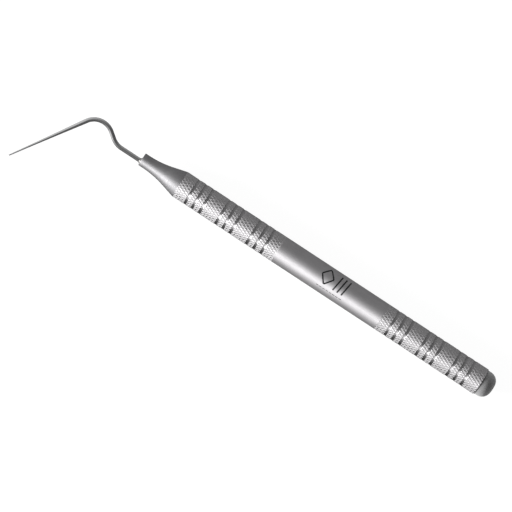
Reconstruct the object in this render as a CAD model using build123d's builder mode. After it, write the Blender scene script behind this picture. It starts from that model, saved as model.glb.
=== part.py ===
"""A dental hand instrument of the root-canal spreader kind, which also serves as a bent scriber.

A hollow stainless handle with two knurled grips, a turned nose that holds a bent and tapered wire, and a
moulded plug that closes the butt. Millimetres. The handle's axis lies along X, with the butt towards +X.
The tool lies as it does on a bench: the handle on Z = 0, and rolled until the tip touches Z = 0 as well.
The origin is under the centre of its box.
"""

import os
from math import asin, atan2, cos, degrees, radians, sin, tan

from build123d import *

# Handle tube
HANDLE_D = 9.5  # a standard 3/8 inch hollow handle
WALL = 0.7
TUBE_LENGTH = 117.6
TUBE_EDGE = 0.12  # edge break at both ends of the tube

# Ring grooves: three groups of three in each knurled grip
FRONT_GROUPS_AT = 34.4  # nose's face to the middle group of the front grip
REAR_GROUPS_AT = 112.5  # the same, for the rear grip
GROUPS = 3
GROUP_PITCH = 12.0
RINGS = 3
RING_PITCH = 2.8
RING_WIDTH = 1.0  # at the surface
RING_FLOOR = 0.72  # width of the flat floor
RING_DEPTH = 0.11

# Nose
NOSE_LENGTH = 14.9
NOSE_FACE_R = 2.3
NOSE_COLLAR = 1.6  # straight length behind the nose's face
FLARE_R = 32.0  # hollow curve between the collar and the taper
FLARE_ANGLE = 15.1
NOSE_SPIGOT = 10.0
SPIGOT_EDGE = 0.4
RELIEF_D = 5.0
RELIEF_DEPTH = 8.0

# Wire: a straight shank, two bends in one plane, and a long tapered point
WIRE_D = 1.5
SHANK_OFFSET = 0.7  # the wire's hole is off the handle's axis, towards the point's side
ROOT_LENGTH = 17.6  # shank inside the nose
SHANK_OUT = 9.74  # nose's face to the first bend's corner
RISE_RUN = 8.7  # first to second corner, measured along the axis
RISE_ANGLE = 37.8  # first bend, away from the point's side
POINT_ANGLE = 56.93  # slope of the point to the axis
POINT_LENGTH = 35.0  # second corner to the centre of the tip's ball
TAPER_FROM = 7.0  # second corner to the start of the ground taper
TAPER_MID_R = 0.45  # radius halfway along the taper
TIP_R = 0.2
BEND_R = 6.0

# Braze and joints
JOINT_GAP = 0.01  # radial gap left in the pressed and bonded joints
HOLE_GAP = 0.02  # radial gap between the wire and its hole
BRAZE_FACE_R = 1.45  # where the braze meets the nose's face
BRAZE_OUT = 0.5  # how far the braze climbs the wire
BRAZE_LIP = 0.05  # thickness of the braze where it ends on the wire
BRAZE_SAG = 0.12  # hollow of the braze's fillet

# Butt plug
PLUG_R = 4.45
PLUG_LENGTH = 4.5
PLUG_ROUND = 3.3
PLUG_SPIGOT = 9.0
PLUG_CORE_R = 3.8
PLUG_HOLLOW_R = 2.2
PLUG_HOLLOW_DEPTH = 8.0
RIBS = 3
RIB_PITCH = 2.4
RIB_WIDTH = 0.8

# Worked out from the driving sizes
TUBE_R = HANDLE_D / 2
BORE_R = TUBE_R - WALL
SPIGOT_R = BORE_R - JOINT_GAP
WIRE_R = WIRE_D / 2
HOLE_R = WIRE_R + HOLE_GAP
TUBE_START = NOSE_LENGTH
TUBE_END = TUBE_START + TUBE_LENGTH
NOSE_END = NOSE_LENGTH + NOSE_SPIGOT
BUTT = TUBE_END + PLUG_LENGTH

# Corners of the wire's route: distance out of the nose, then distance to the point's side
first_corner = (SHANK_OUT, SHANK_OFFSET)
second_corner = (SHANK_OUT + RISE_RUN, SHANK_OFFSET - RISE_RUN * tan(radians(RISE_ANGLE)))


def along_point(distance):
    """A place on the point's centre line, at a distance from the second corner."""
    return (
        second_corner[0] + distance * cos(radians(POINT_ANGLE)),
        second_corner[1] + distance * sin(radians(POINT_ANGLE)),
    )


# The tool rolls about its handle until the tip's ball touches the surface.
tip = along_point(POINT_LENGTH)
roll = asin((TUBE_R - TIP_R) / tip[1])
box_x = (-tip[0] - TIP_R, BUTT)
box_y = (-tip[1] * cos(roll) - TIP_R, TUBE_R)
nose_centre = Vector(-sum(box_x) / 2, -sum(box_y) / 2, TUBE_R)

handle_axis = Axis(nose_centre, (1, 0, 0))
half_section = Plane(origin=nose_centre, x_dir=(1, 0, 0), z_dir=(0, -1, 0))
bend_plane = Plane(origin=nose_centre, x_dir=(-1, 0, 0), z_dir=(0, -sin(roll), cos(roll)))

# The wire's hole runs along its own axis, beside the handle's.
hole_mouth = bend_plane.from_local_coords((0, SHANK_OFFSET, 0))
mouth_plane = Plane(origin=hole_mouth, x_dir=(0, 1, 0), z_dir=(-1, 0, 0))
wire_axis = Axis(hole_mouth, (-1, 0, 0))
wire_section = Plane(origin=hole_mouth, x_dir=(-1, 0, 0), z_dir=bend_plane.z_dir)


def save(piece, label):
    """Names a finished piece and writes it as parts/label.step."""
    piece.part.label = label
    export_step(piece.part, f"parts/{label}.step")


def evenly(count, pitch):
    """Offsets of equally spaced features on both sides of a middle."""
    return [(i - (count - 1) / 2) * pitch for i in range(count)]


os.makedirs("parts", exist_ok=True)

# The tube carries both grips. Its lands are plain here, at the height of the knurl's crests.
# Each ring's cutter is centred on the surface, so it is as wide as the ring there and narrows to its floor.
ring_wall_angle = degrees(atan2(2 * RING_DEPTH, RING_WIDTH - RING_FLOOR))
ring_spots = [
    (middle + group + ring, TUBE_R)
    for middle in (FRONT_GROUPS_AT, REAR_GROUPS_AT)
    for group in evenly(GROUPS, GROUP_PITCH)
    for ring in evenly(RINGS, RING_PITCH)
]
with BuildPart() as handle_tube:
    with BuildSketch(half_section):
        with Locations(((TUBE_START + TUBE_END) / 2, (TUBE_R + BORE_R) / 2)):
            Rectangle(TUBE_LENGTH, WALL)
    revolve(axis=handle_axis)
    outer_rims = handle_tube.edges().filter_by(GeomType.CIRCLE).group_by(SortBy.RADIUS)[-1]
    chamfer(outer_rims, TUBE_EDGE)
    with BuildSketch(half_section):
        with Locations(ring_spots):
            Trapezoid(2 * RING_WIDTH - RING_FLOOR, 2 * RING_DEPTH, ring_wall_angle, rotation=180)
    revolve(axis=handle_axis, mode=Mode.SUBTRACT)
save(handle_tube, "handle_tube")

# The nose: a collar, a hollow flare and a taper up to the tube, then a spigot inside the tube.
with BuildPart() as nose_cone:
    with BuildSketch(half_section):
        with BuildLine():
            collar = Line((0, NOSE_FACE_R), (NOSE_COLLAR, NOSE_FACE_R))
            flare = JernArc(start=collar @ 1, tangent=(1, 0), radius=FLARE_R, arc_size=FLARE_ANGLE)
            taper = Line(flare @ 1, (NOSE_LENGTH, TUBE_R))
            Polyline(taper @ 1, (NOSE_LENGTH, SPIGOT_R), (NOSE_END, SPIGOT_R))
            Polyline((NOSE_END, SPIGOT_R), (NOSE_END, 0), (0, 0), (0, NOSE_FACE_R))
        make_face()
    revolve(axis=handle_axis)
    spigot_rim = nose_cone.edges().filter_by(GeomType.CIRCLE).sort_by(Axis.X)[-1]
    chamfer(spigot_rim, SPIGOT_EDGE)
    with Locations(Plane(origin=handle_axis.position + Vector(NOSE_END, 0, 0), z_dir=(1, 0, 0))):
        Hole(RELIEF_D / 2, depth=RELIEF_DEPTH)
    with Locations(mouth_plane):
        CounterSinkHole(HOLE_R, BRAZE_FACE_R, depth=NOSE_END, counter_sink_angle=90)
save(nose_cone, "nose_cone")

# The braze fills the hole's countersink and climbs the wire in a small fillet.
braze_bore_r = WIRE_R + JOINT_GAP
braze_seat_r = BRAZE_FACE_R - JOINT_GAP
with BuildPart() as braze_ring:
    with BuildSketch(wire_section):
        with BuildLine():
            Line((0, braze_seat_r), (braze_bore_r - braze_seat_r, braze_bore_r))
            Line((braze_bore_r - braze_seat_r, braze_bore_r), (BRAZE_OUT, braze_bore_r))
            Line((BRAZE_OUT, braze_bore_r), (BRAZE_OUT, braze_bore_r + BRAZE_LIP))
            SagittaArc((BRAZE_OUT, braze_bore_r + BRAZE_LIP), (0, braze_seat_r), BRAZE_SAG)
        make_face()
    revolve(axis=wire_axis)
save(braze_ring, "braze_ring")

# The wire: one ground and bent piece, from its root inside the nose to the rounded tip.
taper_start = along_point(TAPER_FROM)
taper_length = POINT_LENGTH - TAPER_FROM
point_plane = Plane(
    origin=bend_plane.from_local_coords((*taper_start, 0)),
    x_dir=bend_plane.from_local_coords((*along_point(TAPER_FROM + 1), 0))
    - bend_plane.from_local_coords((*taper_start, 0)),
    z_dir=bend_plane.z_dir,
)
with BuildPart() as point:
    with BuildLine(bend_plane):
        FilletPolyline((-ROOT_LENGTH, SHANK_OFFSET), first_corner, second_corner, taper_start, radius=BEND_R)
    with BuildSketch(Plane(origin=wire_axis.position + Vector(ROOT_LENGTH, 0, 0), z_dir=(-1, 0, 0))):
        Circle(WIRE_R)
    sweep()
    with BuildSketch(point_plane):
        with BuildLine():
            Line((0, 0), (0, WIRE_R))
            Spline((0, WIRE_R), (taper_length / 2, TAPER_MID_R), (taper_length, TIP_R))
            CenterArc((taper_length, 0), TIP_R, 90, -90)
            Line((taper_length + TIP_R, 0), (0, 0))
        make_face()
    revolve(axis=Axis(point_plane.origin, point_plane.x_dir))
save(point, "point")

# The butt plug: a domed head, and a ribbed and hollow spigot inside the tube.
plug_inner_end = TUBE_END - PLUG_SPIGOT
with BuildPart() as butt_plug:
    with BuildSketch(half_section):
        with Locations((TUBE_END + PLUG_LENGTH / 2, PLUG_R / 2)):
            Rectangle(PLUG_LENGTH, PLUG_R)
        with Locations((TUBE_END - PLUG_SPIGOT / 2, PLUG_CORE_R / 2)):
            Rectangle(PLUG_SPIGOT, PLUG_CORE_R)
        with Locations([(TUBE_END - PLUG_SPIGOT / 2 + x, SPIGOT_R / 2) for x in evenly(RIBS, RIB_PITCH)]):
            Rectangle(RIB_WIDTH, SPIGOT_R)
        with Locations((plug_inner_end + PLUG_HOLLOW_DEPTH / 2, 0)):
            Rectangle(PLUG_HOLLOW_DEPTH, 2 * PLUG_HOLLOW_R, mode=Mode.SUBTRACT)
    revolve(axis=handle_axis)
    butt_rim = butt_plug.edges().filter_by(GeomType.CIRCLE).sort_by(Axis.X)[-1]
    fillet(butt_rim, PLUG_ROUND)
save(butt_plug, "butt_plug")
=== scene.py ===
"""The looks of the hooked dental spreader: finer meshes and steel, plastic and etching materials.

Lengths named in capitals are in millimetres. A place on the tool is given in the tool's own terms: how far
it is along the handle from the nose's face, how far it is from the handle's axis, and its angle around it.
"""

import math

import bmesh
import bpy
from mathutils import Matrix, Vector


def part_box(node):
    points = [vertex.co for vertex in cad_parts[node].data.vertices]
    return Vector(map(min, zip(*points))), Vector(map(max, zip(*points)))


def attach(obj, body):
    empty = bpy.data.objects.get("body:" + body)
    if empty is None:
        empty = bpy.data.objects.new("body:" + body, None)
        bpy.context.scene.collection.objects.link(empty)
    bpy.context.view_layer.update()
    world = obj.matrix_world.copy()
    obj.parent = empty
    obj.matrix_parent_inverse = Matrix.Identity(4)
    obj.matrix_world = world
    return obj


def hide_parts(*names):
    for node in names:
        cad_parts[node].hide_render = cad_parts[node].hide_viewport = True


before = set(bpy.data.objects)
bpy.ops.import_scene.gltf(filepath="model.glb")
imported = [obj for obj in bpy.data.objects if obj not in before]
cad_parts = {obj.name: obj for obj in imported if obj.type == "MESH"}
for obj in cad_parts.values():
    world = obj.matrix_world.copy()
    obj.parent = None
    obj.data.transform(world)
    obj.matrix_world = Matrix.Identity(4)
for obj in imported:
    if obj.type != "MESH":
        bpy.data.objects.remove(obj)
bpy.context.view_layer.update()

MM = 0.001
TURN = 2 * math.pi

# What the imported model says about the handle
tube_low, tube_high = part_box("handle_tube")
nose_low, nose_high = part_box("nose_cone")
_, plug_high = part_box("butt_plug")
nose_face = Vector((nose_low.x, (tube_low.y + tube_high.y) / 2, (tube_low.z + tube_high.z) / 2))

TUBE_R = (tube_high.z - tube_low.z) / 2 / MM
TUBE_START = (tube_low.x - nose_face.x) / MM
TUBE_END = (tube_high.x - nose_face.x) / MM
BUTT = (plug_high.x - nose_face.x) / MM
NOSE_END = (nose_high.x - nose_face.x) / MM
WALL = 0.7
SKIN_R = TUBE_R - 0.006  # leaves room for the etched mark inside the tube's box
BORE_R = TUBE_R - WALL
SPIGOT_R = BORE_R - 0.01

# Ring grooves, as in the CAD
FRONT_GROUPS_AT = 34.4
REAR_GROUPS_AT = 112.5
GROUPS = 3
GROUP_PITCH = 12.0
RINGS = 3
RING_PITCH = 2.8
RING_WIDTH = 1.0
RING_FLOOR = 0.72  # width of the flat floor
RING_DEPTH = 0.11

# Knurl: flat-topped diamonds between two families of helical grooves
KNURL_STARTS = 27
KNURL_PITCH = 2.15  # length of a diamond along the handle
KNURL_DEPTH = 0.085
GROOVE_SHARE = 0.2  # half a groove's width, as a share of the groove spacing
KNURL_LINES = (0.0, 0.1, 0.2, 0.5, 0.8, 0.9)  # mesh lines across each groove spacing
FRONT_GRIP_END = 53.5
REAR_GRIP_START = 93.6
GRIP_FADE = 0.5  # the grooves run out over this length beside the barrel
EDGE = 0.14  # bevel at the tube's ends
BARREL_LEAD = 0.1  # how far the barrel's plain mesh starts from the grips
AROUND = 108  # segments of the plain rings and the barrel
FINE_AROUND = 144  # segments of the nose and the plug
MERGE = 1e-5  # vertices closer than this become one
NEAR = 1e-4  # how close an edge has to be to a cut, or two directions to each other, to count as the same

# Order of the materials on the handle. The ring floors' darker grey is painted shade, and the knurl grooves'
# lighter grey is painted light.
BARREL, RING, LAND, GROOVE = range(4)


def at(along, radius, angle):
    """A point on the tool. The angle is 0 at the top and grows towards the point's side, -Y."""
    return Vector((along, -radius * math.sin(angle), radius * math.cos(angle)))


def place(mesh):
    """Takes a mesh from the tool's own millimetres to the shared frame."""
    mesh.transform(Matrix.Translation(nose_face) @ Matrix.Scale(MM, 4))


def make_piece(name, bm, materials, replaced=(), crease=28):
    """A finished piece of the tool, shaded smooth except where it bends by more than the crease angle."""
    bmesh.ops.remove_doubles(bm, verts=bm.verts, dist=MERGE)
    bmesh.ops.triangulate(bm, faces=[face for face in bm.faces if len(face.verts) > 4])
    bmesh.ops.recalc_face_normals(bm, faces=bm.faces)
    mesh = bpy.data.meshes.new(name)
    bm.to_mesh(mesh)
    bm.free()
    mesh.polygons.foreach_set("use_smooth", [True] * len(mesh.polygons))
    mesh.set_sharp_from_angle(angle=math.radians(crease))
    place(mesh)
    for material in materials:
        mesh.materials.append(material)
    piece = bpy.data.objects.new(name, mesh)
    bpy.context.scene.collection.objects.link(piece)
    if replaced:
        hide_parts(*replaced)
    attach(piece, "root")


def add_ring(bm, along, radius, count=AROUND):
    """A circle of vertices about the handle's axis."""
    return [bm.verts.new(at(along, radius, TURN * i / count)) for i in range(count)]


def angle_of(vert):
    """A vertex's angle about the handle's axis, from 0 to a full turn."""
    return math.atan2(-vert.co.y, vert.co.z) % TURN


def stitch(bm, first, second, material=BARREL):
    """Joins two loops about the axis, of any counts, with triangles or with quads where they match."""
    if len(first) == len(second) and first[0].co.yz.angle(second[0].co.yz, 0) < NEAR:
        for i in range(len(first)):
            j = (i + 1) % len(first)
            bm.faces.new((first[i], first[j], second[j], second[i])).material_index = material
        return
    loops = [sorted(loop, key=angle_of) for loop in (first, second)]
    angles = [[angle_of(vert) for vert in loop] + [angle_of(loop[0]) + TURN] for loop in loops]
    places = [0, 0]
    while places[0] < len(loops[0]) or places[1] < len(loops[1]):
        ahead = [
            angles[k][places[k] + 1] if places[k] < len(loops[k]) else math.inf
            for k in (0, 1)
        ]
        side = 0 if ahead[0] <= ahead[1] else 1
        other = loops[1 - side][places[1 - side] % len(loops[1 - side])]
        here = loops[side][places[side] % len(loops[side])]
        there = loops[side][(places[side] + 1) % len(loops[side])]
        bm.faces.new((here, there, other)).material_index = material
        places[side] += 1


def evenly(count, pitch):
    """Offsets of equally spaced features on both sides of a middle."""
    return [(i - (count - 1) / 2) * pitch for i in range(count)]


def ring_positions(middle):
    """Where the rings of one grip are."""
    return [middle + a + b for a in evenly(GROUPS, GROUP_PITCH) for b in evenly(RINGS, RING_PITCH)]


def groove(phase):
    """How deep a helical groove is at this phase, from 0 on a land to 1 on the groove's line."""
    off_line = abs(phase - round(phase))
    return max(0.0, 1 - off_line / GROOVE_SHARE)


def knurl_depth(along, angle, fade_at):
    """Depth of the knurl below its crests. The grooves run out at fade_at, the barrel's end of the grip."""
    turn = KNURL_STARTS * angle / TURN
    twist = along / KNURL_PITCH
    share = max(groove(turn + twist), groove(turn - twist))
    run_out = min(1.0, max(0.0, abs(along - fade_at) / GRIP_FADE))
    return KNURL_DEPTH * share * run_out


def is_land(line):
    """Whether the strip after a mesh line is clear of the grooves of its family."""
    return GROOVE_SHARE <= KNURL_LINES[line] < 1 - GROOVE_SHARE


def knurl_sheet(bm, start, end, fade_at, middle):
    """The knurled skin from start to end, as a net that follows both families of grooves."""
    lines = len(KNURL_LINES)
    period = KNURL_STARTS * lines
    verts = {}

    def vert(a, b):
        """The net's vertex on two mesh lines, the same one after a full turn."""
        shift = (b // period) * period
        key = (a - shift, b - shift)
        if key not in verts:
            phase_a = a // lines + KNURL_LINES[a % lines]
            phase_b = b // lines + KNURL_LINES[b % lines]
            along = KNURL_PITCH * (phase_a - phase_b) / 2
            angle = TURN * (phase_a + phase_b) / (2 * KNURL_STARTS)
            verts[key] = bm.verts.new(at(along, SKIN_R, angle))
        return verts[key]

    first = math.floor(2 * start / KNURL_PITCH) - 2
    last = math.ceil(2 * end / KNURL_PITCH) + 2
    for row in range(first, last):
        for cell in range(KNURL_STARTS):
            for i in range(lines):
                for j in range(lines):
                    a = (cell + row) * lines + i
                    b = cell * lines + j
                    corners = (vert(a, b), vert(a + 1, b), vert(a + 1, b + 1), vert(a, b + 1))
                    # the grooves take the lighter groove steel: painted light on their flanks
                    on_land = is_land(i) and is_land(j)
                    bm.faces.new(corners).material_index = LAND if on_land else GROOVE

    # The net is cut square at each ring groove and at both ends, and what lies past a cut is taken out.
    half = RING_WIDTH / 2
    gaps = [(spot - half, spot + half) for spot in ring_positions(middle)]
    cuts = [start, end] + [edge for gap in gaps for edge in gap]
    for cut in cuts:
        geometry = bm.verts[:] + bm.edges[:] + bm.faces[:]
        bmesh.ops.bisect_plane(bm, geom=geometry, dist=MERGE, plane_co=(cut, 0, 0), plane_no=(1, 0, 0))
    gaps += [(-math.inf, start), (end, math.inf)]
    outside = [
        face
        for face in bm.faces
        if any(low < face.calc_center_median().x < high for low, high in gaps)
    ]
    bmesh.ops.delete(bm, geom=outside, context="FACES")
    for point in bm.verts:
        along = point.co.x
        angle = angle_of(point)
        point.co = at(along, SKIN_R - knurl_depth(along, angle, fade_at), angle)


def loop_at(bm, along):
    """The open edge of the knurled skin at a cut."""
    rim = [vert for vert in bm.verts if vert.is_boundary and abs(vert.co.x - along) < NEAR]
    return sorted(rim, key=angle_of)


def ring_floor(bm, spot, left, right):
    """A ring groove between two lands: its flat floor, and its walls up to the lands' edges."""
    floor_ends = [add_ring(bm, spot + side * RING_FLOOR / 2, TUBE_R - RING_DEPTH) for side in (-1, 1)]
    # the floor and walls take the darker ring steel: painted shade in the groove
    stitch(bm, left, floor_ends[0], RING)
    stitch(bm, floor_ends[0], floor_ends[1], RING)
    stitch(bm, floor_ends[1], right, RING)


def knurled_grip(start, end, fade_at, middle):
    """One grip as its own mesh, open at both ends."""
    bm = bmesh.new()
    knurl_sheet(bm, start, end, fade_at, middle)
    rims = {}
    for spot in ring_positions(middle):
        for side in (-1, 1):
            edge = spot + side * RING_WIDTH / 2
            rims[edge] = loop_at(bm, edge)
    for spot in ring_positions(middle):
        ring_floor(bm, spot, rims[spot - RING_WIDTH / 2], rims[spot + RING_WIDTH / 2])
    return bm


def join_into(target, source):
    """Copies one bmesh into another."""
    mesh = bpy.data.meshes.new("join")
    source.to_mesh(mesh)
    source.free()
    target.from_mesh(mesh)
    bpy.data.meshes.remove(mesh)


def make_handle(materials):
    """The hollow handle: two knurled and ringed grips, the plain barrel, the ends and the bore."""
    bm = bmesh.new()
    front_start = TUBE_START + EDGE
    rear_end = TUBE_END - EDGE
    for start, end, fade_at, middle in (
        (front_start, FRONT_GRIP_END, FRONT_GRIP_END, FRONT_GROUPS_AT),
        (REAR_GRIP_START, rear_end, REAR_GRIP_START, REAR_GROUPS_AT),
    ):
        join_into(bm, knurled_grip(start, end, fade_at, middle))
    rims = {along: loop_at(bm, along) for along in (front_start, FRONT_GRIP_END, REAR_GRIP_START, rear_end)}
    barrel_ends = (FRONT_GRIP_END + BARREL_LEAD, REAR_GRIP_START - BARREL_LEAD)
    barrel = [add_ring(bm, along, SKIN_R) for along in barrel_ends]
    stitch(bm, rims[FRONT_GRIP_END], barrel[0])
    stitch(bm, barrel[0], barrel[1])
    stitch(bm, barrel[1], rims[REAR_GRIP_START])
    lip = SKIN_R - KNURL_DEPTH
    wall = [
        add_ring(bm, TUBE_START, lip),
        add_ring(bm, TUBE_START, BORE_R),
        add_ring(bm, TUBE_END, BORE_R),
        add_ring(bm, TUBE_END, lip),
    ]
    stitch(bm, rims[front_start], wall[0])
    for first, second in zip(wall, wall[1:]):
        stitch(bm, first, second)
    stitch(bm, wall[-1], rims[rear_end])
    make_piece("knurled_handle", bm, materials, ["handle_tube"])


def lathe(profile, count=AROUND):
    """A closed turned solid from its half outline, whose first and last points are on the axis."""
    bm = bmesh.new()
    rings = [add_ring(bm, along, radius, count) for along, radius in profile[1:-1]]
    for first, second in zip(rings, rings[1:]):
        stitch(bm, first, second)
    for ring, tip in ((rings[0], profile[0]), (rings[-1], profile[-1])):
        middle = bm.verts.new(at(tip[0], 0, 0))
        for i in range(count):
            bm.faces.new((ring[i], ring[(i + 1) % count], middle))
    return bm


def arc(centre, radius, start, end, steps):
    """Points of a round stretch of an outline, with the angles in degrees from the +X side."""
    spots = []
    for i in range(steps + 1):
        angle = math.radians(start + (end - start) * i / steps)
        spots.append((centre[0] + radius * math.cos(angle), centre[1] + radius * math.sin(angle)))
    return spots


# ---------------------------------------------------------------- nose
NOSE_FACE_R = 2.3
NOSE_COLLAR = 1.6
FLARE_R = 32.0
FLARE_ANGLE = 15.1  # degrees
FLARE_STEPS = 24
NOSE_EDGE = 0.12
NOSE_EDGE_STEPS = 3
SEAM = ((0.12, 0.03), (0.03, 0.05), (0.0, 0.1))  # the edge beside the tube: before its start, below its skin


def make_nose(materials):
    """The turned nose: a soft edge at its face, the collar, the hollow flare, the taper and the spigot."""
    flare_centre = (NOSE_COLLAR, NOSE_FACE_R + FLARE_R)
    flare = arc(flare_centre, FLARE_R, -90, -90 + FLARE_ANGLE, FLARE_STEPS)
    outline = [(0, 0), (0, NOSE_FACE_R - NOSE_EDGE)]
    outline += arc((NOSE_EDGE, NOSE_FACE_R - NOSE_EDGE), NOSE_EDGE, 150, 90, NOSE_EDGE_STEPS)
    outline += flare
    outline += [(TUBE_START - before, SKIN_R - below) for before, below in SEAM]
    outline += [(TUBE_START, SPIGOT_R), (NOSE_END, SPIGOT_R), (NOSE_END, 0)]
    make_piece("turned_nose", lathe(outline, FINE_AROUND), materials, ["nose_cone"])


# ---------------------------------------------------------------- wire
WIRE_R = 0.75
SHANK_OFFSET = 0.7
ROOT_LENGTH = 2.0
SHANK_OUT = 9.74
RISE_RUN = 8.7
RISE_ANGLE = 37.8  # degrees
POINT_ANGLE = 56.93
POINT_LENGTH = 34.998  # a hair short, so the tip's facets stay inside its box
TAPER_FROM = 7.0
TAPER_MID_R = 0.45
TIP_R = 0.2
BEND_R = 6.0
BEND_STEPS = 28
TAPER_STEPS = 40
WIRE_AROUND = 40
TIP_TURNS = (20, 40, 60, 80)  # degrees around the tip's ball


def wire_route():
    """The wire's centre line as (out of the nose, to the point's side, direction) in its bend plane."""
    rise = RISE_RUN * math.tan(math.radians(RISE_ANGLE))
    corners = [
        ((SHANK_OUT, SHANK_OFFSET), 0.0, -math.radians(RISE_ANGLE)),
        ((SHANK_OUT + RISE_RUN, SHANK_OFFSET - rise), -math.radians(RISE_ANGLE), math.radians(POINT_ANGLE)),
    ]
    route = [(-ROOT_LENGTH, SHANK_OFFSET, 0.0)]
    for (x, y), before, after in corners:
        lead = BEND_R * math.tan(abs(after - before) / 2)
        start = (x - lead * math.cos(before), y - lead * math.sin(before))
        side = math.copysign(1, after - before)
        centre = (start[0] - side * BEND_R * math.sin(before), start[1] + side * BEND_R * math.cos(before))
        for i in range(BEND_STEPS + 1):
            way = before + (after - before) * i / BEND_STEPS
            route.append(
                (centre[0] + side * BEND_R * math.sin(way), centre[1] - side * BEND_R * math.cos(way), way)
            )
    (x, y), _, way = corners[-1]
    for i in range(TAPER_STEPS + 1):
        run = TAPER_FROM + (POINT_LENGTH - TAPER_FROM) * i / TAPER_STEPS
        route.append((x + run * math.cos(way), y + run * math.sin(way), way))
    return route


def make_point(materials):
    """The bent wire and its ground point, with a rounded tip. Gives back how far the tool is rolled."""
    route = wire_route()
    tip_side = route[-1][1]
    roll = math.asin((TUBE_R - TIP_R) / tip_side)
    across = Vector((0, -math.cos(roll), -math.sin(roll)))
    up = Vector((0, -math.sin(roll), math.cos(roll)))
    bm = bmesh.new()
    rings = []
    taper_start = len(route) - TAPER_STEPS - 1
    for index, (out, side, way) in enumerate(route):
        share = max(0.0, (index - taper_start) / TAPER_STEPS)
        radius = WIRE_R + (4 * TAPER_MID_R - 3 * WIRE_R - TIP_R) * share
        radius += (2 * WIRE_R + 2 * TIP_R - 4 * TAPER_MID_R) * share**2
        centre = Vector((-out, 0, 0)) + across * side
        outward = Vector((math.sin(way), 0, 0)) + across * math.cos(way)
        rings.append((centre, outward, radius))
    forward = Vector((-math.cos(route[-1][2]), 0, 0)) + across * math.sin(route[-1][2])
    end, outward, _ = rings[-1]
    for angle in TIP_TURNS:
        turn = math.radians(angle)
        rings.append((end + forward * TIP_R * math.sin(turn), outward, TIP_R * math.cos(turn)))
    loops = []
    for centre, outward, radius in rings:
        loop = []
        for i in range(WIRE_AROUND):
            angle = TURN * i / WIRE_AROUND
            loop.append(bm.verts.new(centre + radius * (outward * math.cos(angle) + up * math.sin(angle))))
        loops.append(loop)
    for first, second in zip(loops, loops[1:]):
        for i in range(WIRE_AROUND):
            j = (i + 1) % WIRE_AROUND
            bm.faces.new((first[i], first[j], second[j], second[i]))
    bm.faces.new(loops[0])
    bm.faces.new(loops[-1])
    make_piece("bent_point", bm, materials, ["point"])
    return roll


# ---------------------------------------------------------------- braze
BRAZE_BORE_R = WIRE_R + 0.01
BRAZE_DEPTH = 0.6  # into the nose
BRAZE_ROOT = 0.08  # thickness at the bottom of the hole
BRAZE_SEAT_R = 1.42
BRAZE_RIM = 0.06  # the soft rim in front of the nose's face
BRAZE_CLIMB = 0.5  # how far the fillet climbs the wire
BRAZE_LIP = 0.04  # thickness where it ends on the wire
BRAZE_HOLLOW = 2.2  # how hollow the fillet is, as a power
BRAZE_STEPS = 8
BRAZE_AROUND = 72


def make_braze(roll, materials):
    """The small fillet of silver braze around the wire at the nose's face."""
    rim_r = BRAZE_SEAT_R - BRAZE_RIM
    outline = [(BRAZE_DEPTH, BRAZE_BORE_R), (BRAZE_DEPTH, BRAZE_BORE_R + BRAZE_ROOT)]
    outline += [(0.0, BRAZE_SEAT_R), (-BRAZE_RIM, rim_r)]
    for i in range(1, BRAZE_STEPS + 1):
        share = i / BRAZE_STEPS
        height = (rim_r - BRAZE_LIP - BRAZE_BORE_R) * (1 - share) ** BRAZE_HOLLOW
        outline.append((-BRAZE_RIM - BRAZE_CLIMB * share, BRAZE_BORE_R + BRAZE_LIP + height))
    outline += [(-BRAZE_RIM - BRAZE_CLIMB, BRAZE_BORE_R)]
    bm = bmesh.new()
    loops = [add_ring(bm, along, radius, BRAZE_AROUND) for along, radius in outline]
    loops.append(loops[0])
    for first, second in zip(loops, loops[1:]):
        stitch(bm, first, second)
    side = Vector((0, -math.cos(roll), -math.sin(roll))) * SHANK_OFFSET
    bmesh.ops.translate(bm, verts=bm.verts, vec=side)
    make_piece("silver_fillet", bm, materials, ["braze_ring"])


# ---------------------------------------------------------------- plug
PLUG_R = 4.45
PLUG_ROUND = 3.3
PLUG_SPIGOT = 9.0
PLUG_CORE_R = 3.8
PLUG_SHOULDER = 0.15
PLUG_STEP = 0.01  # half the length over which the head widens from the spigot
SHOULDER_STEPS = 5
DOME_STEPS = 28


def make_plug(materials):
    """The domed butt plug, with a soft shoulder beside the tube."""
    outline = [(TUBE_END - PLUG_SPIGOT, 0), (TUBE_END - PLUG_SPIGOT, PLUG_CORE_R)]
    outline += [(TUBE_END - PLUG_STEP, PLUG_CORE_R), (TUBE_END + PLUG_STEP, PLUG_R - PLUG_SHOULDER)]
    outline += arc((TUBE_END + PLUG_SHOULDER, PLUG_R - PLUG_SHOULDER), PLUG_SHOULDER, 180, 90, SHOULDER_STEPS)
    outline += arc((BUTT - PLUG_ROUND, PLUG_R - PLUG_ROUND), PLUG_ROUND, 90, 0, DOME_STEPS)
    outline += [(BUTT, 0)]
    make_piece("domed_plug", lathe(outline, FINE_AROUND), materials, ["butt_plug"])


# ---------------------------------------------------------------- mark
# Places on the mark are (along the handle, around it from the top)
MARK_TOP_R = TUBE_R - 0.001
MARK_FLOOR_R = SKIN_R - 0.02
STROKE = 0.5
HATCHES = (75.4, 77.0, 78.6)  # where the slanted strokes start along the handle
HATCH_LEAN = 0.8
MARK_LOW = 1.6  # how far the mark reaches around the handle from its top, on the point's side
MARK_HIGH = -4.2  # and on the other side
LOZENGE_AT = 71.8
LOZENGE_HALF = 2.2
DASHES = 8
DASH_PITCH = 1.25
DASH_LENGTH = 0.85
DASH_WIDTH = 0.22
DASHES_AT = (74.6, 3.0)
STROKE_STEP = 0.3  # longest mesh step along a stroke
STROKE_LANES = 3  # mesh strips across a stroke


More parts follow.
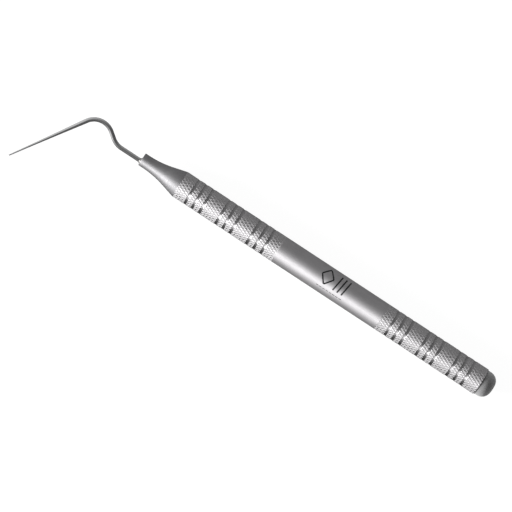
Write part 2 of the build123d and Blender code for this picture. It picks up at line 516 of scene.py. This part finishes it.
def add_stroke(bm, start, end, width):
    """A thin closed strip on the barrel. Its ends are (along the handle, around it from the top)."""
    start, end = Vector(start), Vector(end)
    run = end - start
    aside = Vector((-run.y, run.x)).normalized() * width
    steps = max(2, math.ceil(run.length / STROKE_STEP))
    lanes = STROKE_LANES
    sheets = []
    for radius in (MARK_TOP_R, MARK_FLOOR_R):
        sheet = []
        for i in range(steps + 1):
            for j in range(lanes + 1):
                spot = start + run * i / steps + aside * (j / lanes - 0.5)
                sheet.append(bm.verts.new(at(spot.x, radius, spot.y / TUBE_R)))
        sheets.append(sheet)
    row = lanes + 1
    for sheet in sheets:
        for i in range(steps):
            for j in range(lanes):
                k = i * row + j
                bm.faces.new((sheet[k], sheet[k + 1], sheet[k + row + 1], sheet[k + row]))
    rim = list(range(row))
    rim += [i * row + lanes for i in range(1, steps + 1)]
    rim += [steps * row + j for j in range(lanes - 1, -1, -1)]
    rim += [i * row for i in range(steps - 1, 0, -1)]
    top, floor = sheets
    for k, here in enumerate(rim):
        there = rim[(k + 1) % len(rim)]
        bm.faces.new((top[here], top[there], floor[there], floor[here]))


def make_mark(materials):
    """A plain etched mark on the barrel: a lozenge, three slanted strokes and a dashed line."""
    bm = bmesh.new()
    middle = (MARK_LOW + MARK_HIGH) / 2
    corners = [
        (LOZENGE_AT - LOZENGE_HALF, middle),
        (LOZENGE_AT, MARK_HIGH),
        (LOZENGE_AT + LOZENGE_HALF, middle),
        (LOZENGE_AT, MARK_LOW),
    ]
    for i, corner in enumerate(corners):
        add_stroke(bm, corner, corners[(i + 1) % len(corners)], STROKE)
    for spot in HATCHES:
        add_stroke(bm, (spot, MARK_LOW), (spot + HATCH_LEAN, MARK_HIGH), STROKE)
    for offset in evenly(DASHES, DASH_PITCH):
        start = (DASHES_AT[0] + offset - DASH_LENGTH / 2, DASHES_AT[1])
        end = (DASHES_AT[0] + offset + DASH_LENGTH / 2, DASHES_AT[1])
        add_stroke(bm, start, end, DASH_WIDTH)
    make_piece("etched_mark", bm, materials)


# ---------------------------------------------------------------- materials
MARKS_AROUND = 0.25  # the anisotropy's rotation, in turns, for marks that run around the handle


def add_node(tree, kind, **inputs):
    """A shader node with its inputs set or linked, by name."""
    node = tree.nodes.new(kind)
    for name, value in inputs.items():
        socket = node.inputs[name.replace("_", " ")]
        if isinstance(value, bpy.types.NodeSocket):
            tree.links.new(value, socket)
        else:
            socket.default_value = value
    return node


def new_material(name):
    """A material, its tree, its shader and the object's coordinates, which are in metres."""
    material = bpy.data.materials.new(name)
    material.use_nodes = True
    tree = material.node_tree
    shader = tree.nodes["Principled BSDF"]
    coordinates = tree.nodes.new("ShaderNodeTexCoord").outputs["Object"]
    return material, tree, shader, coordinates


def stretched(tree, coordinates, scale):
    """The coordinates scaled along each axis. The scale is per millimetre."""
    return add_node(
        tree, "ShaderNodeMapping", Vector=coordinates, Scale=tuple(value / MM for value in scale)
    ).outputs["Vector"]


def spread(tree, value, low, high, from_low=0.35, from_high=0.65):
    """Spreads a noise's middle range over low to high."""
    node = tree.nodes.new("ShaderNodeMapRange")
    tree.links.new(value, node.inputs["Value"])
    for name, number in (("From Min", from_low), ("From Max", from_high), ("To Min", low), ("To Max", high)):
        node.inputs[name].default_value = number
    return node.outputs["Result"]


def noise(tree, coordinates, scale, detail):
    """A noise's strength, with its scale along each axis per millimetre."""
    vector = stretched(tree, coordinates, scale)
    return add_node(tree, "ShaderNodeTexNoise", Vector=vector, Scale=1.0, Detail=detail).outputs["Fac"]


def two_tone(tree, shader, share, first, second):
    """Colours the surface between two colours."""
    mix = tree.nodes.new("ShaderNodeMix")
    mix.data_type = "RGBA"
    tree.links.new(share, mix.inputs["Factor"])
    mix.inputs["A"].default_value = (*first, 1)
    mix.inputs["B"].default_value = (*second, 1)
    tree.links.new(mix.outputs["Result"], shader.inputs["Base Color"])


def steel(name, grey, rough, grain, turned=0.0, cloud=0.25, bump=0.0012, vary=0.06, rough_vary=0.05):
    """Satin steel with fine marks along a grain and a slow cloudiness.

    Turned steel has its marks around the handle, so its highlights spread along the handle.
    """
    material, tree, shader, coordinates = new_material(name)
    marks = noise(tree, coordinates, grain, 4.0)
    clouds = noise(tree, coordinates, (cloud,) * 3, 3.0)
    darker, lighter = ([value + side * vary / 2 for value in grey] for side in (-1, 1))
    two_tone(tree, shader, clouds, darker, lighter)
    tree.links.new(spread(tree, marks, rough - rough_vary, rough + rough_vary), shader.inputs["Roughness"])
    bumps = add_node(tree, "ShaderNodeBump", Strength=1.0, Distance=bump * MM, Height=marks)
    tree.links.new(bumps.outputs["Normal"], shader.inputs["Normal"])
    shader.inputs["Metallic"].default_value = 1.0
    if turned:
        tangent = tree.nodes.new("ShaderNodeTangent")
        tangent.direction_type = "RADIAL"
        tangent.axis = "X"
        tree.links.new(tangent.outputs["Tangent"], shader.inputs["Tangent"])
        shader.inputs["Anisotropic"].default_value = turned
        shader.inputs["Anisotropic Rotation"].default_value = MARKS_AROUND
    return material


def plug_plastic():
    """Matt grey moulded plastic with a fine grain and a faint sheen."""
    material, tree, shader, coordinates = new_material("plug_plastic")
    grain = noise(tree, coordinates, (9, 9, 9), 3.0)
    two_tone(tree, shader, grain, (0.2, 0.2, 0.202), (0.26, 0.26, 0.262))
    tree.links.new(spread(tree, grain, 0.55, 0.7), shader.inputs["Roughness"])
    bumps = add_node(tree, "ShaderNodeBump", Strength=0.6, Distance=0.01 * MM, Height=grain)
    tree.links.new(bumps.outputs["Normal"], shader.inputs["Normal"])
    shader.inputs["Specular IOR Level"].default_value = 0.25
    shader.inputs["Sheen Weight"].default_value = 0.3
    shader.inputs["Sheen Roughness"].default_value = 0.6
    return material


def etched_black():
    """Black laser-etched steel: dark and matt, and a little uneven."""
    material, tree, shader, coordinates = new_material("etched_black")
    marks = noise(tree, coordinates, (4, 4, 4), 3.0)
    two_tone(tree, shader, marks, (0.008, 0.008, 0.009), (0.03, 0.03, 0.032))
    tree.links.new(spread(tree, marks, 0.55, 0.7), shader.inputs["Roughness"])
    shader.inputs["Specular IOR Level"].default_value = 0.2
    return material


barrel_steel = steel("barrel_steel", (0.55, 0.54, 0.55), 0.73, (0.5, 6, 6), turned=0.68)
knurl_steel = steel("knurl_steel", (0.53, 0.522, 0.53), 0.6, (0.5, 6, 6), turned=0.85)
# lighter grey than the lands' steel: painted light standing in for the light the groove flanks catch
groove_steel_painted_light = steel("groove_steel_painted_light", (0.62, 0.612, 0.62), 0.88, (6, 6, 6), turned=0.3)
# darker grey than the barrel's steel: painted shade in the ring grooves
ring_steel_painted_shade = steel("ring_steel_painted_shade", (0.35, 0.344, 0.35), 0.44, (25, 0.6, 0.6), turned=0.9)
nose_steel = steel("nose_steel", (0.44, 0.435, 0.445), 0.84, (25, 0.6, 0.6), turned=0.8, rough_vary=0.16)
point_steel = steel("point_steel", (0.56, 0.56, 0.565), 0.2, (6, 6, 6), rough_vary=0.03)
braze_metal = steel("silver_braze", (0.19, 0.187, 0.18), 0.55, (6, 6, 6), bump=0.01)

make_handle([barrel_steel, ring_steel_painted_shade, knurl_steel, groove_steel_painted_light])
make_nose([nose_steel])
roll = make_point([point_steel])
make_braze(roll, [braze_metal])
make_plug([plug_plastic()])
make_mark([etched_black()])

# ---------------------------------------------------------------- floor, light and camera
FRAME_WIDTH = 167.4
SENSOR = 36.0
LENS = 200.0
CAMERA_TURN = 33.29  # degrees
AIM_ALONG = 48.5
AIM_ASIDE = 6.0  # towards the point's side
FLOOR_HALF = 1500.0
FLOOR_DROP = 0.02  # how far the floor is below the tool
FLOOR_GREY = 0.12
FLOOR_GLOW = 0.95  # keeps the floor an even white
CAMERA_REACH = 20  # metres
KEY_AIM = 75.0  # where the key light points, along the handle
KEY_DISTANCE = 900.0
KEY_SIZE = 300.0
KEY_POWER = 18.0  # watts
KEY_WAY = (-0.818, -0.502, 0.28)  # from the handle towards the key light
BRIGHT_SIDE = (-0.84, 0.54, 0.0)  # the side on which the studio's walls are brighter
WORLD_MIDDLE = 0.16
WORLD_SLOPE = 0.28
WORLD_BEND = 0.32
KEY_GLOW = 1.1  # how bright the studio is around the key light


def make_floor():
    """A plain white floor, which doesn't show in glossy reflections."""
    bm = bmesh.new()
    bmesh.ops.create_grid(bm, x_segments=8, y_segments=8, size=FLOOR_HALF * MM)
    mesh = bpy.data.meshes.new("floor")
    bm.to_mesh(mesh)
    bm.free()
    material, _, shader, _ = new_material("floor")
    shader.inputs["Base Color"].default_value = (FLOOR_GREY, FLOOR_GREY, FLOOR_GREY, 1)
    shader.inputs["Roughness"].default_value = 0.9
    shader.inputs["Specular IOR Level"].default_value = 0.0
    shader.inputs["Emission Color"].default_value = (1, 1, 1, 1)
    shader.inputs["Emission Strength"].default_value = FLOOR_GLOW
    mesh.materials.append(material)
    floor = bpy.data.objects.new("floor", mesh)
    floor.location.z = -FLOOR_DROP * MM
    floor.visible_glossy = False
    bpy.context.scene.collection.objects.link(floor)


def make_key():
    """The soft square key light, which faces the middle of the handle."""
    data = bpy.data.lights.new("key", "AREA")
    data.shape = "RECTANGLE"
    data.size = data.size_y = KEY_SIZE * MM
    data.energy = KEY_POWER
    light = bpy.data.objects.new("key", data)
    direction = Vector(KEY_WAY)
    aim = nose_face + Vector((KEY_AIM * MM, 0, 0))
    light.location = aim + direction.normalized() * KEY_DISTANCE * MM
    light.rotation_mode = "QUATERNION"
    light.rotation_quaternion = direction.to_track_quat("Z", "Y")
    bpy.context.scene.collection.objects.link(light)


def multiply_add(tree, value, factor, addend):
    """A node's output: value * factor + addend."""
    node = tree.nodes.new("ShaderNodeMath")
    node.operation = "MULTIPLY_ADD"
    for socket, term in zip(node.inputs, (value, factor, addend)):
        if isinstance(term, bpy.types.NodeSocket):
            tree.links.new(term, socket)
        else:
            socket.default_value = term
    return node.outputs["Value"]


def make_world():
    """A soft white studio all around, brighter on one side and around the key light."""
    world = bpy.data.worlds.new("studio")
    world.use_nodes = True
    tree = world.node_tree
    shade = tree.nodes["Background"]
    direction = tree.nodes.new("ShaderNodeTexCoord").outputs["Generated"]
    dot = tree.nodes.new("ShaderNodeVectorMath")
    dot.operation = "DOT_PRODUCT"
    tree.links.new(direction, dot.inputs[0])
    dot.inputs[1].default_value = BRIGHT_SIDE
    side = dot.outputs["Value"]
    walls = multiply_add(tree, side, multiply_add(tree, side, WORLD_BEND, WORLD_SLOPE), WORLD_MIDDLE)
    toward_key = tree.nodes.new("ShaderNodeVectorMath")
    toward_key.operation = "DOT_PRODUCT"
    tree.links.new(direction, toward_key.inputs[0])
    toward_key.inputs[1].default_value = KEY_WAY
    near = spread(tree, toward_key.outputs["Value"], 0.0, 1.0, 0.0, 1.0)
    for _ in range(2):
        near = multiply_add(tree, near, near, 0.0)
    tree.links.new(multiply_add(tree, near, KEY_GLOW, walls), shade.inputs["Strength"])
    shade.inputs["Color"].default_value = (1, 1, 1, 1)
    bpy.context.scene.world = world


make_floor()
make_world()
make_key()

camera_data = bpy.data.cameras.new("camera")
camera_data.sensor_width = SENSOR
camera_data.lens = LENS
camera_data.clip_end = CAMERA_REACH
camera = bpy.data.objects.new("camera", camera_data)
height = FRAME_WIDTH * MM * LENS / SENSOR
camera.location = nose_face + Vector((AIM_ALONG * MM, -AIM_ASIDE * MM, height))
camera.rotation_euler = (0, 0, math.radians(CAMERA_TURN))
bpy.context.scene.collection.objects.link(camera)
bpy.context.scene.camera = camera
bpy.context.scene.view_settings.view_transform = "Standard"
